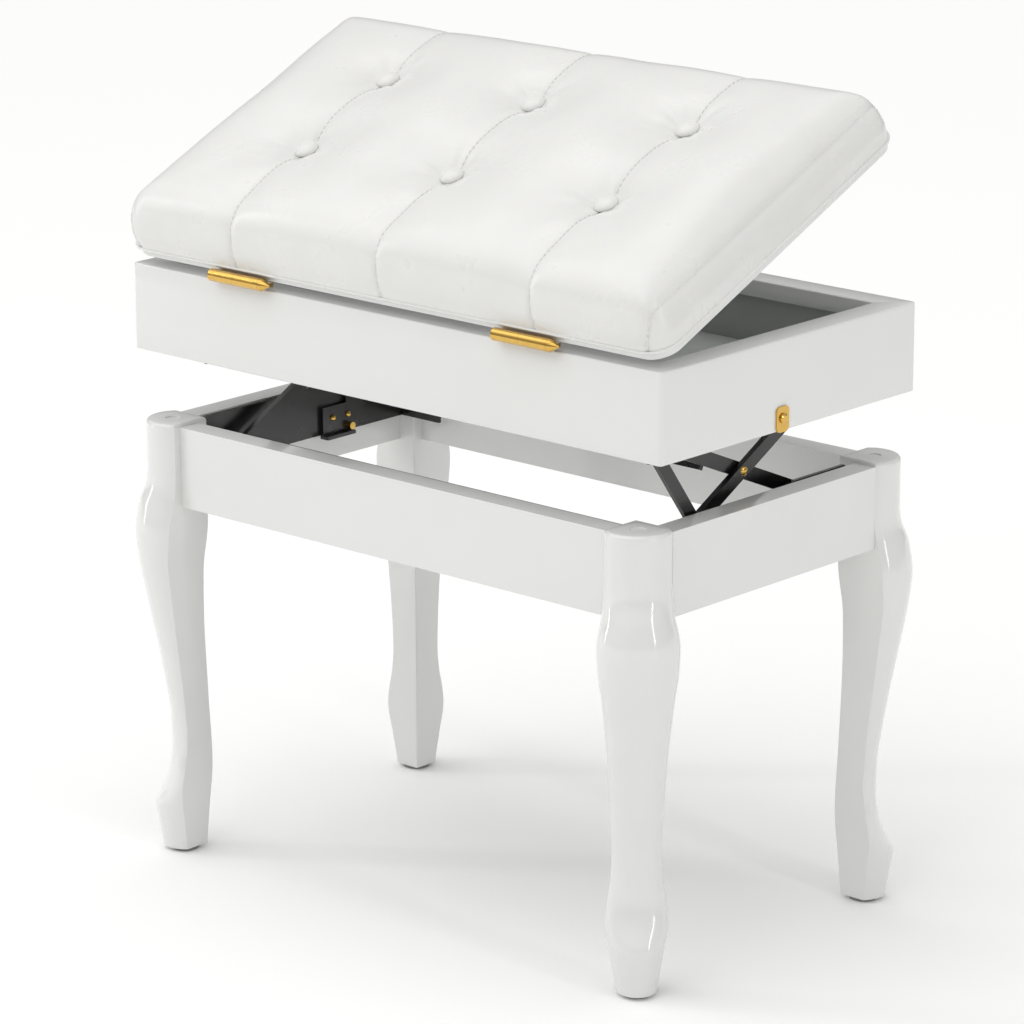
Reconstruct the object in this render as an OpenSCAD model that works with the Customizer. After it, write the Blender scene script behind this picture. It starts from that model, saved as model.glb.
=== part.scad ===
// Adjustable piano bench: storage box with a tufted lid on a lifting frame.
// Millimetres, +Z up. The origin is on the floor under the middle of the bench.
// X runs along the seat, the hinge side of the lid is -Y. Shown raised, lid open.

/* [Storage box] */
// Length of the storage box
box_len = 560; // [420:1:700]
// Width of the storage box
box_wid = 305.5; // [270:0.5:380]
// Height of the storage box
box_h = 71.2; // [62:0.1:100]
// Thickness of the box walls
wall_t = 18; // [14:0.5:20]
// Width of the thicker rim round the mouth of the box
rim_w = 24; // [21:0.5:30]
// Height of the rim
rim_h = 14; // [8:0.5:20]
// Radius of the upright corners of the box
box_r = 3.5; // [1:0.1:6]
// Thickness of the floor panel
floor_t = 5; // [3:0.5:8]
// Height of the floor panel above the lower edge of the walls
floor_up = 12; // [9:0.5:16]
// Depth of the groove that holds the floor panel
groove = 6; // [3:0.5:9]

/* [Base frame] */
// Height of the legs
leg_h = 369.7; // [330:0.1:440]
// Radius of the round outer side of a leg post
post_r = 25.6; // [22:0.1:30]
// Distance from a leg's centre to the flat side that an apron meets
post_flat = 19.5; // [17:0.5:22]
// Distance from the end of the box to the centre of a leg
leg_in_x = 30.7; // [26:0.1:40]
// Distance from the long side of the box to the centre of a leg
leg_in_y = 10.95; // [9:0.05:16]
// Height of the aprons
apron_h = 66.7; // [58:0.1:90]
// Thickness of the aprons
apron_t = 20; // [16:0.5:22]
// How far the aprons sit below the tops of the legs
apron_drop = 3; // [1:0.5:6]
// How far the end aprons sit in from the ends of the box
apron_in_x = 13.6; // [10:0.1:18]
// Thickness of the glide under each foot
glide_t = 3; // [2:0.5:5]

/* [Lift] */
// Gap between the raised box and the aprons
raise = 58.2; // [58:0.1:64]
// How far the box can be lowered
travel = 54.5; // [40:0.5:54.5]
// Angle of the first arms with the box raised
arm_a_angle = 28.7; // [27:0.1:30]
// Angle of the second arms with the box raised
arm_b_angle = 22.9; // [22:0.1:24]
// Angle of the stay with the box raised
stay_angle = 53.8; // [50:0.1:56]
// Width of the first arms and of the stay
arm_a_wid = 10.8; // [8:0.1:11]
// Width of the second arms
arm_b_wid = 11.8; // [9:0.1:13]
// Thickness of the arms
arm_t = 5; // [3:0.5:5.5]
// Radius of the pins that slide
pin_r = 3; // [2:0.1:3.2]
// Room between a turning pin and its hole
fit = 0.05; // [0.02:0.01:0.08]
// Room between a sliding pin and its slot
slot_gap = 1.2; // [1.1:0.1:1.5]
// Room between the parts of the lift that pass each other
side_gap = 0.5; // [0.4:0.1:0.8]

/* [Lid] */
// Angle that the lid stands open
lid_open = 24.5; // [0:0.5:90]
// How far the lid passes each end of the box
lid_over = 4; // [0:0.5:8]
// How much narrower the lid is than the box
lid_short = 1.5; // [0:0.5:6]
// Thickness of the lid board
board_t = 12; // [9:0.5:18]
// Height of the upright side of the cushion
side_h = 26; // [18:1:40]
// Height of the crown above the cushion's side
crown_h = 20; // [10:1:24]
// Radius of the lid's corners
lid_r = 22; // [12:1:40]
// Radius of a button
button_r = 10; // [7:0.5:12]
// Distance between buttons along the lid
button_pitch = 158; // [110:1:175]
// Distance of the first row of buttons from the hinge side
button_row_1 = 108; // [80:1:130]
// Distance of the second row of buttons from the hinge side
button_row_2 = 212; // [170:1:240]

/* [Hinges and catch] */
// Radius of the hinge barrels
barrel_r = 5.2; // [3.5:0.1:6]
// Length of a hinge barrel
barrel_len = 55; // [40:1:70]
// Length of the pointed end of a hinge pin
point_len = 9.5; // [4:0.5:14]
// Radius of the hinge pins
hinge_pin_r = 2.2; // [1.5:0.1:2.6]
// Thickness of a hinge leaf
leaf_t = 1.9; // [1.5:0.1:2.5]
// Width of a hinge leaf beyond the barrel
leaf_w = 16; // [12:0.1:18]
// Distance from the middle of the pair to each hinge
hinge_x = 151.7; // [100:0.1:180]
// How far the pair of hinges sits from the middle of the bench
hinge_shift = 0.9; // [-6:0.1:6]
// Width of the turning catch
catch_w = 14.5; // [10:0.5:18]
// Height of the turning catch
catch_h = 20; // [16:0.5:26]

/* [Hidden] */
$fn = 48;

// Heights
apron_top = leg_h - apron_drop;
apron_bot = apron_top - apron_h;
box_z = apron_top + raise;
box_top = box_z + box_h;
floor_z = box_z + floor_up;
// Places in plan
leg_x = box_len / 2 - leg_in_x;
leg_y = box_wid / 2 - leg_in_y;
apron_out_x = box_len / 2 - apron_in_x;
apron_in_face_x = apron_out_x - apron_t;
apron_out_y = box_wid / 2 - 0.25;
apron_in_face_y = apron_out_y - apron_t;
post_in_x = leg_x - post_flat;
post_in_y = leg_y - post_flat;
// Steel base rails on the end aprons, and the guides for the second arms
plate_t = 3;
rail_x = apron_in_face_x - plate_t;
rail_z0 = apron_bot + 23;
rail_z1 = apron_top - 1.5;
rail_y = post_in_y - 1.3;
guide_t = 3.4;
guide_x = rail_x - guide_t;
guide_y0 = 22.5;
guide_y1 = rail_y;
guide_step_y = 50;
guide_step_z = rail_z0 + 24;
guide_top_z = apron_top - 0.2;
// Upper rails under the box, then the two arms, side by side from the end inwards
upper_t = 3;
stay_t = 4;
stay_x = rail_x - side_gap - stay_t;
upper_x = stay_x - 1.1 - upper_t;
arm_a_x = upper_x - side_gap - 0.3 - arm_t;
arm_b_x = arm_a_x - side_gap - arm_t;
// Side view of the lift, as points [y, z]
rivet = [0, box_z - 41.9];
low_z = apron_bot + 41.5;
high_z = box_z - 8.9;
arm_low = rivet[1] - low_z;
arm_high = high_z - rivet[1];
a_low = arm_low / sin(arm_a_angle);
a_high = arm_high / sin(arm_a_angle);
b_low = arm_low / sin(arm_b_angle);
b_high = arm_high / sin(arm_b_angle);
a_foot = rivet - a_low * [cos(arm_a_angle), sin(arm_a_angle)];
a_top = rivet + a_high * [cos(arm_a_angle), sin(arm_a_angle)];
b_foot = rivet + b_low * [cos(arm_b_angle), -sin(arm_b_angle)];
b_top = rivet + b_high * [-cos(arm_b_angle), sin(arm_b_angle)];
// The same points with the box lowered
low_a = asin((arm_low + arm_high - travel) / (a_low + a_high));
low_b = asin((arm_low + arm_high - travel) / (b_low + b_high));
rivet_l = a_foot + a_low * [cos(low_a), sin(low_a)];
a_top_l = a_foot + (a_low + a_high) * [cos(low_a), sin(low_a)];
b_foot_l = rivet_l + b_low * [cos(low_b), -sin(low_b)];
b_top_l = rivet_l + b_high * [-cos(low_b), sin(low_b)];
// Stay: hangs from the right upper rail, and its foot slides in the right base rail
stay_top = [b_top[0] - 32.3, high_z];
stay_foot_z = low_z - 6.5;
stay_len = (high_z - stay_foot_z) / sin(stay_angle);
stay_foot = stay_top + stay_len * [cos(stay_angle), -sin(stay_angle)];
low_stay = asin((high_z - travel - stay_foot_z) / stay_len);
stay_foot_l = [stay_top[0] + stay_len * cos(low_stay), stay_foot_z];
stay_sag = 3.7;
shaft_r = 4;
journal_r = 3;
rivet_r = 3;
stay_pin_r = 2.5;
// The lid, sized from the box it covers, and its hinge line
lid_len = box_len + 2 * lid_over;
lid_wid = box_wid - lid_short;
hinge_y = -box_wid / 2 - barrel_r;
hinge_z = box_top + barrel_r - 0.1;
lid_gap = 2 * leaf_t + 0.15;
lid_z = box_top + lid_gap;
lid_y0 = hinge_y + barrel_r + 0.4;
lid_y1 = lid_y0 + lid_wid;
cushion_z = lid_z + board_t;
board_inset = 2;
button_seat = side_h + crown_h - 11;
skirt = 7;
knuckle_gap = 0.15;
knuckle = (barrel_len - knuckle_gap) / 2;
leaf_len = barrel_len - 8;
// Screws and dowels
dowel_r = 4;
dowel_half = 18;
screw_r = 1.6;
screw_head_r = 2.8;
plug_r = 6;
plug_deep = 3;
// Catch
catch_y = -12.5;
catch_t = 1.5;
catch_pivot_z = box_z + 10.4;

WHITE = [0.93, 0.93, 0.91];
BLACK = [0.08, 0.08, 0.09];
BRASS = [0.83, 0.67, 0.32];
STEEL = [0.66, 0.67, 0.69];
GREY = [0.45, 0.46, 0.45];
BEECH = [0.80, 0.66, 0.46];

// ---------------------------------------------------------------- helpers

// Smooth curve through the pairs [height, value] of a profile
function step_of(p, z, i = 0) = i >= len(p) - 2 || z < p[i + 1][0] ? i : step_of(p, z, i + 1);
function slope(p, i) =
  i == 0 || i == len(p) - 1 ? 0
    : let (a = (p[i][1] - p[i - 1][1]) / (p[i][0] - p[i - 1][0]),
        b = (p[i + 1][1] - p[i][1]) / (p[i + 1][0] - p[i][0])) a * b <= 0 ? 0 : 2 * a * b / (a + b);
function along(p, z) =
  let (i = step_of(p, z), h = p[i + 1][0] - p[i][0], t = min(1, (z - p[i][0]) / h), t2 = t * t, t3 = t2 * t)
  (2 * t3 - 3 * t2 + 1) * p[i][1] + (t3 - 2 * t2 + t) * h * slope(p, i)
    + (3 * t2 - 2 * t3) * p[i + 1][1] + (t3 - t2) * h * slope(p, i + 1);

// Flat plate seen from the side: an outline in Y and Z, thick along X from x0
module side_plate(x0, t) {
  translate([x0, 0, 0]) rotate([90, 0, 90]) linear_extrude(t) children();
}

// Round bar along X from x0 to x1 at the point p = [y, z]
module bar_x(x0, x1, p, r) {
  translate([x0, p[0], p[1]]) rotate([0, 90, 0]) cylinder(h = x1 - x0, r = r);
}

// Round bar along Y from y0 to y1 at x and z
module bar_y(y0, y1, x, z, r) {
  translate([x, y1, z]) rotate([90, 0, 0]) cylinder(h = y1 - y0, r = r);
}

// Link with round ends between two points
module link(p, q, w) {
  d = q - p;
  n = norm(d);
  translate(p) rotate(atan2(d[1], d[0])) {
    translate([0, -w / 2]) square([n, w]);
    circle(w / 2);
    translate([n, 0]) circle(w / 2);
  }
}

module round_rect(l, w, r) {
  square([l - 2 * r, w], center = true);
  square([l, w - 2 * r], center = true);
  for (sx = [-1, 1], sy = [-1, 1]) translate([sx * (l / 2 - r), sy * (w / 2 - r)]) circle(r);
}

// Copies for the left and right ends of the bench
module both_ends() {
  children();
  mirror([1, 0, 0]) children();
}

// Puts a lid piece, drawn closed, at the angle the lid stands open
module opened() {
  translate([0, hinge_y, hinge_z]) rotate([lid_open, 0, 0]) translate([0, -hinge_y, -hinge_z]) children();
}

// ---------------------------------------------------------------- legs

// Profiles of a leg, [height, distance from its centre]: outward side, inward corner, half width
OUT = [[0, 15.9], [24, 19], [41, 21.4], [50, 17.5], [60, 12.6], [73, 9], [92, 6.7], [116, 7.1],
  [142, 10.3], [182, 17], [210, 22.5], [254, 30.4], [276, 32.5], [300, 29], [318, 22.6], [330, 21.4], [370, 21.4]];
IN = [[0, 20.8], [32, 23], [77, 26.6], [130, 24.5], [206, 22.3], [240, 22.8], [280, 27.2], [300, 27.6], [370, 27.6]];
HALF = [[0, 16.5], [30, 20.3], [58, 24.2], [75, 22.7], [90, 20.4], [108, 19.2], [137, 19.9], [189, 23],
  [215, 25.2], [240, 28], [261, 30.8], [279, 31.7], [291, 30.3], [302, 27.8], [317, 26.2], [332, 25.6], [370, 25.6]];
RING_STEPS = 18;
LEVELS = 52;
TOP_ROUND = 3;

// One level of a leg: a round outer side and a square inner corner, seen from above
function leg_ring(z, scale_in) =
  let (f = z * 370 / leg_h, k = post_r / 25.6, w = along(HALF, f) * k - scale_in,
    inner = post_flat * sqrt(2) * along(IN, f) / 27.6 - scale_in,
    outer = along(OUT, f) * k - scale_in, c = w - inner)
  concat([for (i = [0 : RING_STEPS]) let (t = -90 + 180 * i / RING_STEPS)
      [c + (outer - c) * cos(t), w * sin(t), z]], [[-inner, 0, z]]);

module leg_shape() {
  body_top = leg_h - TOP_ROUND;
  rings = concat(
    [for (i = [0 : LEVELS]) leg_ring(glide_t + (body_top - glide_t) * i / LEVELS, 0)],
    [for (t = [30, 60, 90]) leg_ring(body_top + TOP_ROUND * sin(t), TOP_ROUND * (1 - cos(t)))]);
  n = RING_STEPS + 2;
  m = len(rings);
  points = [for (r = rings) for (p = r) p];
  sides = [for (j = [0 : m - 2], i = [0 : n - 1]) let (a = j * n + i, b = j * n + (i + 1) % n)
    each [[a, b + n, b], [a, a + n, b + n]]];
  polyhedron(points, concat([[for (i = [0 : n - 1]) i]], sides, [[for (i = [n - 1 : -1 : 0]) (m - 1) * n + i]]));
}

// A leg at the corner with signs sx and sy
module leg(sx, sy) {
  difference() {
    translate([sx * leg_x, sy * leg_y, 0]) rotate(atan2(sy, sx)) leg_shape();
    translate([sx * leg_x, sy * leg_y, leg_h - plug_deep]) cylinder(h = plug_deep + 1, r = plug_r);
    dowels();
  }
}

module leg_front_left() { color(WHITE) leg(-1, -1); }
module leg_front_right() { color(WHITE) leg(1, -1); }
module leg_rear_left() { color(WHITE) leg(-1, 1); }
module leg_rear_right() { color(WHITE) leg(1, 1); }

module leg_top_plugs() {
  color(WHITE) for (sx = [-1, 1], sy = [-1, 1])
    translate([sx * leg_x, sy * leg_y, leg_h - plug_deep]) cylinder(h = plug_deep - 1, r = plug_r);
}

module foot_glides() {
  color(GREY) for (sx = [-1, 1], sy = [-1, 1])
    translate([sx * (leg_x - 1.5), sy * (leg_y - 1.5), 0]) cylinder(h = glide_t, r = 11);
}

// ---------------------------------------------------------------- aprons

module dowels() {
  for (z = [apron_bot + 16, apron_top - 16]) {
    for (sx = [-1, 1], sy = [-1, 1]) {
      bar_x(sx * post_in_x - dowel_half, sx * post_in_x + dowel_half,
        [sy * (apron_out_y - apron_t / 2), z], dowel_r);
      bar_y(sy * post_in_y - dowel_half, sy * post_in_y + dowel_half,
        sx * (apron_out_x - apron_t / 2), z - 9, dowel_r);
    }
  }
}

module apron_dowels() { color(BEECH) dowels(); }

module long_apron(s) {
  difference() {
    translate([-post_in_x, s > 0 ? apron_in_face_y : -apron_out_y, apron_bot])
      cube([2 * post_in_x, apron_t, apron_h]);
    dowels();
  }
}

module end_apron(s) {
  difference() {
    translate([s > 0 ? apron_in_face_x : -apron_out_x, -post_in_y, apron_bot])
      cube([apron_t, 2 * post_in_y, apron_h]);
    dowels();
    both_ends() rail_screws();
    both_ends() guide_screw_set(0);
  }
}

module apron_front() { color(WHITE) long_apron(-1); }
module apron_rear() { color(WHITE) long_apron(1); }
module apron_left() { color(WHITE) end_apron(-1); }
module apron_right() { color(WHITE) end_apron(1); }

// ---------------------------------------------------------------- base rails and guides

// Screw along X into the end apron, with a round head if head > 0
module wood_screw_x(p, from_x, head) {
  bar_x(from_x, apron_in_face_x + 13, p, screw_r);
  if (head > 0) intersection() {
    translate([from_x, p[0], p[1]]) sphere(r = screw_head_r);
    translate([from_x - 2 * screw_head_r, p[0] - screw_head_r, p[1] - screw_head_r])
      cube([2 * screw_head_r, 2 * screw_head_r, 2 * screw_head_r]);
  }
}

// Countersunk screws that hold a base rail
module rail_screws() {
  for (p = [[-rail_y + 17, rail_z1 - 8], [8, rail_z1 - 8]]) {
    bar_x(rail_x + 1.8, apron_in_face_x + 13, p, screw_r);
    translate([rail_x + 0.1, p[0], p[1]]) rotate([0, 90, 0]) cylinder(h = 1.8, r1 = 3.3, r2 = screw_r);
  }
}

module guide_screw_set(head) {
  for (y = [guide_y0 + 11.5, guide_y0 + 29.5]) wood_screw_x([y, rail_z0 + 13.7], guide_x, head);
}

// Slot for a pin of radius r that slides from point p to point q, open by gap above and below
module slot(p, q, r, gap, below = 0) {
  hull_y0 = min(p[0], q[0]) - r - gap / 2;
  hull_y1 = max(p[0], q[0]) + r + gap / 2;
  z0 = min(p[1], q[1]) - r - gap / 2 - below;
  z1 = max(p[1], q[1]) + r + gap / 2;
  translate([hull_y0, z0]) square([hull_y1 - hull_y0, z1 - z0]);
}

// Flat rail on the inside of an end apron, with a tongue turned along the rear apron
module base_rail(with_stay) {
  difference() {
    union() {
      side_plate(rail_x, plate_t) translate([-rail_y, rail_z0]) square([2 * rail_y, rail_z1 - rail_z0]);
      translate([guide_x - 43, rail_y - 3, rail_z0]) cube([rail_x + 0.5 - guide_x + 43, 3, 9]);
    }
    bar_x(rail_x - 1, rail_x + plate_t + 1, a_foot, journal_r + fit);
    rail_screws();
    for (p = [[-rail_y + 17, rail_z1 - 8], [8, rail_z1 - 8]]) bar_x(rail_x - 1, rail_x + 0.11, p, 3.3);
    guide_screw_set(0);
    if (with_stay) side_plate(rail_x - 1, plate_t + 2) slot(stay_foot, stay_foot_l, pin_r, slot_gap, stay_sag);
  }
}

module base_rail_left() { color(BLACK) mirror([1, 0, 0]) base_rail(false); }
module base_rail_right() { color(BLACK) base_rail(true); }

module slide_guide() {
  lip = 9;
  heel_y = guide_y1 - 3.5;
  shoulder_y = guide_y1 - 8;
  difference() {
    union() {
      side_plate(guide_x, guide_t) polygon([[guide_y0, rail_z0], [heel_y, rail_z0], [heel_y, rail_z0 + 10],
        [guide_y1, rail_z0 + 10], [guide_y1, rail_z0 + 28], [shoulder_y, rail_z0 + 28],
        [shoulder_y, guide_top_z], [guide_step_y, guide_top_z], [guide_step_y, guide_step_z],
        [guide_y0, guide_step_z]]);
      translate([guide_x - lip + guide_t, guide_y0, rail_z0 - 3]) cube([lip, guide_step_y + 6 - guide_y0, 3]);
    }
    side_plate(guide_x - 1, guide_t + 2) slot(b_foot, b_foot_l, pin_r, slot_gap);
    guide_screw_set(0);
    bar_x(guide_x - 1, guide_x + guide_t + 1, [guide_step_y + 3, rail_z0 + 4], screw_r);
  }
}

module slide_guide_left() { color(BLACK) mirror([1, 0, 0]) slide_guide(); }
module slide_guide_right() { color(BLACK) slide_guide(); }
module guide_screws() { color(BRASS) both_ends() guide_screw_set(1); }
module base_rail_screws() { color(BLACK) both_ends() rail_screws(); }

// Brass studs at the lower edge of each guide
module guide_studs() {
  p = [guide_step_y + 3, rail_z0 + 4];
  color(BRASS) both_ends() {
    bar_x(guide_x - 3.5, guide_x, p, 2.6);
    bar_x(guide_x - 5, guide_x - 3.5, p, 3.2);
    bar_x(guide_x, guide_x + guide_t, p, screw_r);
  }
}

// ---------------------------------------------------------------- arms

module pivot_shaft() {
  color(BLACK) {
    bar_x(-arm_a_x, arm_a_x, a_foot, shaft_r);
    both_ends() bar_x(arm_a_x, rail_x + plate_t - 0.2, a_foot, journal_r);
  }
}

module arm_a() {
  difference() {
    side_plate(arm_a_x, arm_t) link(a_foot, a_top, arm_a_wid);
    bar_x(arm_a_x - 1, arm_a_x + arm_t + 1, a_foot, journal_r);
    bar_x(arm_a_x - 1, arm_a_x + arm_t + 1, a_top, pin_r);
    bar_x(arm_a_x - 1, arm_a_x + arm_t + 1, rivet, rivet_r);
  }
}

module arm_a_left() { color(BLACK) mirror([1, 0, 0]) arm_a(); }
module arm_a_right() { color(BLACK) arm_a(); }

module centre_rivets() {
  color(BRASS) both_ends() {
    bar_x(arm_b_x - 1.5, arm_a_x + arm_t, rivet, rivet_r);
    bar_x(arm_b_x - 3, arm_b_x - side_gap / 2, rivet, rivet_r + 1.6);
    intersection() {
      translate([arm_a_x + arm_t - 3.2, rivet[0], rivet[1]]) sphere(r = 5.2);
      side_plate(arm_a_x + arm_t, 4) translate(rivet - [8, 8]) square(16);
    }
  }
}

module arm_a_slide_pins() {
  color(STEEL) both_ends() {
    bar_x(arm_a_x - 0.2, upper_x + upper_t + 0.3, a_top, pin_r);
    bar_x(upper_x + upper_t + 0.3, stay_x + 0.5, a_top, pin_r + 2);
  }
}

module arm_b() {
  difference() {
    side_plate(arm_b_x, arm_t) link(b_foot, b_top, arm_b_wid);
    bar_x(arm_b_x - 1, arm_b_x + arm_t + 1, b_foot, pin_r);
    bar_x(arm_b_x - 1, arm_b_x + arm_t + 1, b_top, pin_r);
    bar_x(arm_b_x - 1, arm_b_x + arm_t + 1, rivet, rivet_r + fit);
  }
}

module arm_b_left() { color(BLACK) mirror([1, 0, 0]) arm_b(); }
module arm_b_right() { color(BLACK) arm_b(); }

// Flat bar that joins the two second arms
module tie_bar() {
  color(BLACK) translate([0, rivet[0], rivet[1]]) rotate([-arm_b_angle, 0, 0])
    translate([-arm_b_x, -41, -9.3]) cube([2 * arm_b_x, 4, 11]);
}

module arm_b_slide_pins() {
  color(STEEL) both_ends() bar_x(arm_b_x - 0.2, rail_x - 0.2, b_foot, pin_r);
}

module arm_b_top_pins() {
  color(STEEL) both_ends() {
    bar_x(arm_b_x - 0.2, upper_x + upper_t + 0.2, b_top, pin_r);
    bar_x(upper_x + upper_t + 0.2, stay_x - 0.3, b_top, pin_r + 2);
  }
}

// ---------------------------------------------------------------- box

module floor_groove() {
  translate([0, 0, floor_z]) linear_extrude(floor_t)
    square([box_len - 2 * (wall_t - groove), box_wid - 2 * (wall_t - groove)], center = true);
}

module box_shell() {
  difference() {
    translate([0, 0, box_z]) linear_extrude(box_h) round_rect(box_len, box_wid, box_r);
    translate([0, 0, box_z - 1]) linear_extrude(box_h - rim_h + 1)
      square([box_len - 2 * wall_t, box_wid - 2 * wall_t], center = true);
    translate([0, 0, box_z]) linear_extrude(box_h + 1)
      square([box_len - 2 * rim_w, box_wid - 2 * rim_w], center = true);
    floor_groove();
    for (x0 = [left_hinge, right_hinge]) leaf_holes(x0, box_top - 12) cylinder(h = 13, r = screw_r);
    bar_x(box_len / 2 - 14, box_len / 2 + 1, [catch_y, catch_pivot_z], screw_r);
  }
}

// The quarter of the box between two mitres: s gives the side, along the length or across it
module mitre(along_x, s) {
  reach = box_wid / 2 + 20;
  half = along_x ? box_len / 2 : box_wid / 2;
  other = along_x ? box_wid / 2 : box_len / 2;
  depth = 60;
  rotate(along_x ? (s > 0 ? 0 : 180) : (s > 0 ? -90 : 90)) translate([0, 0, box_z - 2])
    linear_extrude(box_h + 4) polygon([[-half - 20, other + 20], [-half + depth, other - depth],
      [half - depth, other - depth], [half + 20, other + 20]]);
}

module box_wall_front() { color(WHITE) intersection() { box_shell(); mitre(true, -1); } }
module box_wall_rear() { color(WHITE) intersection() { box_shell(); mitre(true, 1); } }
module box_wall_left() { color(WHITE) intersection() { box_shell(); mitre(false, -1); } }
module box_wall_right() { color(WHITE) intersection() { box_shell(); mitre(false, 1); } }

module box_floor() {
  color(GREY) difference() {
    floor_groove();
    upper_screws();
  }
}

// Felt laid on the floor of the box
module box_lining() {
  color(GREY) translate([0, 0, floor_z + floor_t]) linear_extrude(1.5)
    square([box_len - 2 * wall_t, box_wid - 2 * wall_t], center = true);
}

// ---------------------------------------------------------------- upper rails

module upper_screws() {
  both_ends() for (y = [stay_top[0] + 8, b_top[0] + 18, a_top[0] - 14, a_top_l[0] + 4])
    translate([upper_x + upper_t + 8, y, floor_z - 3]) cylinder(h = 3 + floor_t - 1, r = screw_r);
}

// Angle under the box: an ear at the front and one at the rear, each with a slot
module upper_rail() {
  front = stay_top[0] - 5.5;
  rear = a_top_l[0] + 10;
  ear_z = high_z - 7.5;
  mid_z = box_z + 1;
  nose_z = ear_z + 3.2;
  top_z = floor_z;
  difference() {
    union() {
      side_plate(upper_x, upper_t) polygon([[front, nose_z], [b_top[0] - 9, nose_z],
        [b_top[0] - 6, ear_z], [b_top_l[0] + 8, ear_z],
        [b_top_l[0] + 14, mid_z], [a_top[0] - 14, mid_z], [a_top[0] - 8, ear_z],
        [rear, ear_z], [rear, top_z], [front, top_z]]);
      for (y = [[front, b_top_l[0] + 22], [a_top[0] - 22, rear]])
        translate([upper_x, y[0], top_z - 3]) cube([16, y[1] - y[0], 3]);
    }
    side_plate(upper_x - 1, upper_t + 2) slot([a_top[0], high_z], [a_top_l[0], high_z], pin_r, 2 * slot_gap);
    side_plate(upper_x - 1, upper_t + 2) slot([b_top[0], high_z], [b_top_l[0], high_z], pin_r, 2 * slot_gap);
    bar_x(upper_x - 1, upper_x + upper_t + 1, stay_top, stay_pin_r);
    upper_screws();
  }
}

module upper_rail_left() { color(BLACK) mirror([1, 0, 0]) upper_rail(); }
module upper_rail_right() { color(BLACK) upper_rail(); }

module upper_rail_screws() {
  color(STEEL) {
    upper_screws();
    both_ends() for (y = [stay_top[0] + 8, b_top[0] + 18, a_top[0] - 14, a_top_l[0] + 4])
      translate([upper_x + upper_t + 8, y, floor_z - 5]) cylinder(h = 2, r = screw_head_r);
  }
}

// ---------------------------------------------------------------- stay

module stay() {
  color(BLACK) difference() {
    side_plate(stay_x, stay_t) link(stay_foot, stay_top, arm_a_wid);
    bar_x(stay_x - 1, stay_x + stay_t + 1, stay_top, stay_pin_r + fit);
    bar_x(stay_x - 1, stay_x + stay_t + 1, stay_foot, pin_r);
  }
}

module stay_pivot() {
  color(BRASS) {
    bar_x(upper_x - 1.2, stay_x + stay_t + 0.2, stay_top, stay_pin_r);
    bar_x(upper_x - 1.2, upper_x, stay_top, stay_pin_r + 1.5);
  }
}

module stay_foot_pin() { color(STEEL) bar_x(stay_x, rail_x + plate_t - 0.3, stay_foot, pin_r); }

// ---------------------------------------------------------------- hinges

// One knuckle from x0 to x1 round the hinge line: the pin is tight in the box knuckle
module knuckle_tube(x0, x1, room) {
  difference() {
    bar_x(x0, x1, [hinge_y, hinge_z], barrel_r);
    bar_x(x0 - 1, x1 + 1, [hinge_y, hinge_z], hinge_pin_r + room);
  }
}

module leaf_holes(x0, z) {
  for (i = [0, 1, 2]) translate([x0 + 7 + i * (leaf_len - 14) / 2, hinge_y + barrel_r + 0.5 + leaf_w / 2, z])
    children();
}

// Leaf under the lid, with the knuckle at the +X end
module hinge_lid(x0) {
  tab0 = x0 + knuckle + knuckle_gap;
  opened() difference() {
    union() {
      knuckle_tube(tab0, x0 + barrel_len, fit);
      difference() {
        translate([tab0, hinge_y, lid_z - leaf_t]) cube([knuckle, barrel_r + 2, leaf_t]);
        bar_x(tab0 - 1, x0 + barrel_len + 1, [hinge_y, hinge_z], barrel_r - 0.5);
      }
      translate([x0, hinge_y + barrel_r + 0.5, lid_z - leaf_t]) cube([leaf_len, leaf_w, leaf_t]);
    }
    leaf_holes(x0, lid_z - leaf_t - 1) cylinder(h = leaf_t + 2, r = screw_r);
  }
}

// Leaf on the rim of the box, with the knuckle at the -X end
module hinge_box(x0) {
  difference() {
    union() {
      knuckle_tube(x0, x0 + knuckle, 0);
      difference() {
        translate([x0, hinge_y, box_top]) cube([knuckle, barrel_r + 2, leaf_t]);
        bar_x(x0 - 1, x0 + knuckle + 1, [hinge_y, hinge_z], barrel_r - 0.5);
      }
      translate([x0, hinge_y + barrel_r + 0.5, box_top]) cube([leaf_len, leaf_w, leaf_t]);
    }
    leaf_holes(x0, box_top - 1) cylinder(h = leaf_t + 2, r = screw_r);
  }
}

// Pin with a pointed end beyond the barrel
module hinge_pin(x0) {
  bar_x(x0 + 0.5, x0 + barrel_len + 0.2, [hinge_y, hinge_z], hinge_pin_r);
  translate([x0 + barrel_len + 0.2, hinge_y, hinge_z]) rotate([0, 90, 0]) rotate_extrude()
    polygon([[0, 0], [barrel_r, 0], [barrel_r, 1.2], [0.4, point_len], [0, point_len]]);
}

left_hinge = hinge_shift - hinge_x - (barrel_len + point_len) / 2;
right_hinge = hinge_shift + hinge_x - (barrel_len + point_len) / 2;

module hinge_box_left() { color(BRASS) hinge_box(left_hinge); }
module hinge_box_right() { color(BRASS) hinge_box(right_hinge); }
module hinge_lid_left() { color(BRASS) hinge_lid(left_hinge); }
module hinge_lid_right() { color(BRASS) hinge_lid(right_hinge); }
module hinge_pin_left() { color(BRASS) hinge_pin(left_hinge); }
module hinge_pin_right() { color(BRASS) hinge_pin(right_hinge); }

module hinge_screws_box() {
  color(BRASS) for (x0 = [left_hinge, right_hinge])
    leaf_holes(x0, box_top - 12) cylinder(h = 12 + leaf_t - 0.1, r = screw_r);
}

module hinge_screws_lid() {
  color(BRASS) opened() for (x0 = [left_hinge, right_hinge])
    leaf_holes(x0, lid_z - leaf_t + 0.1) cylinder(h = 9 + leaf_t - 0.1, r = screw_r);
}

// ---------------------------------------------------------------- lid

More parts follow.
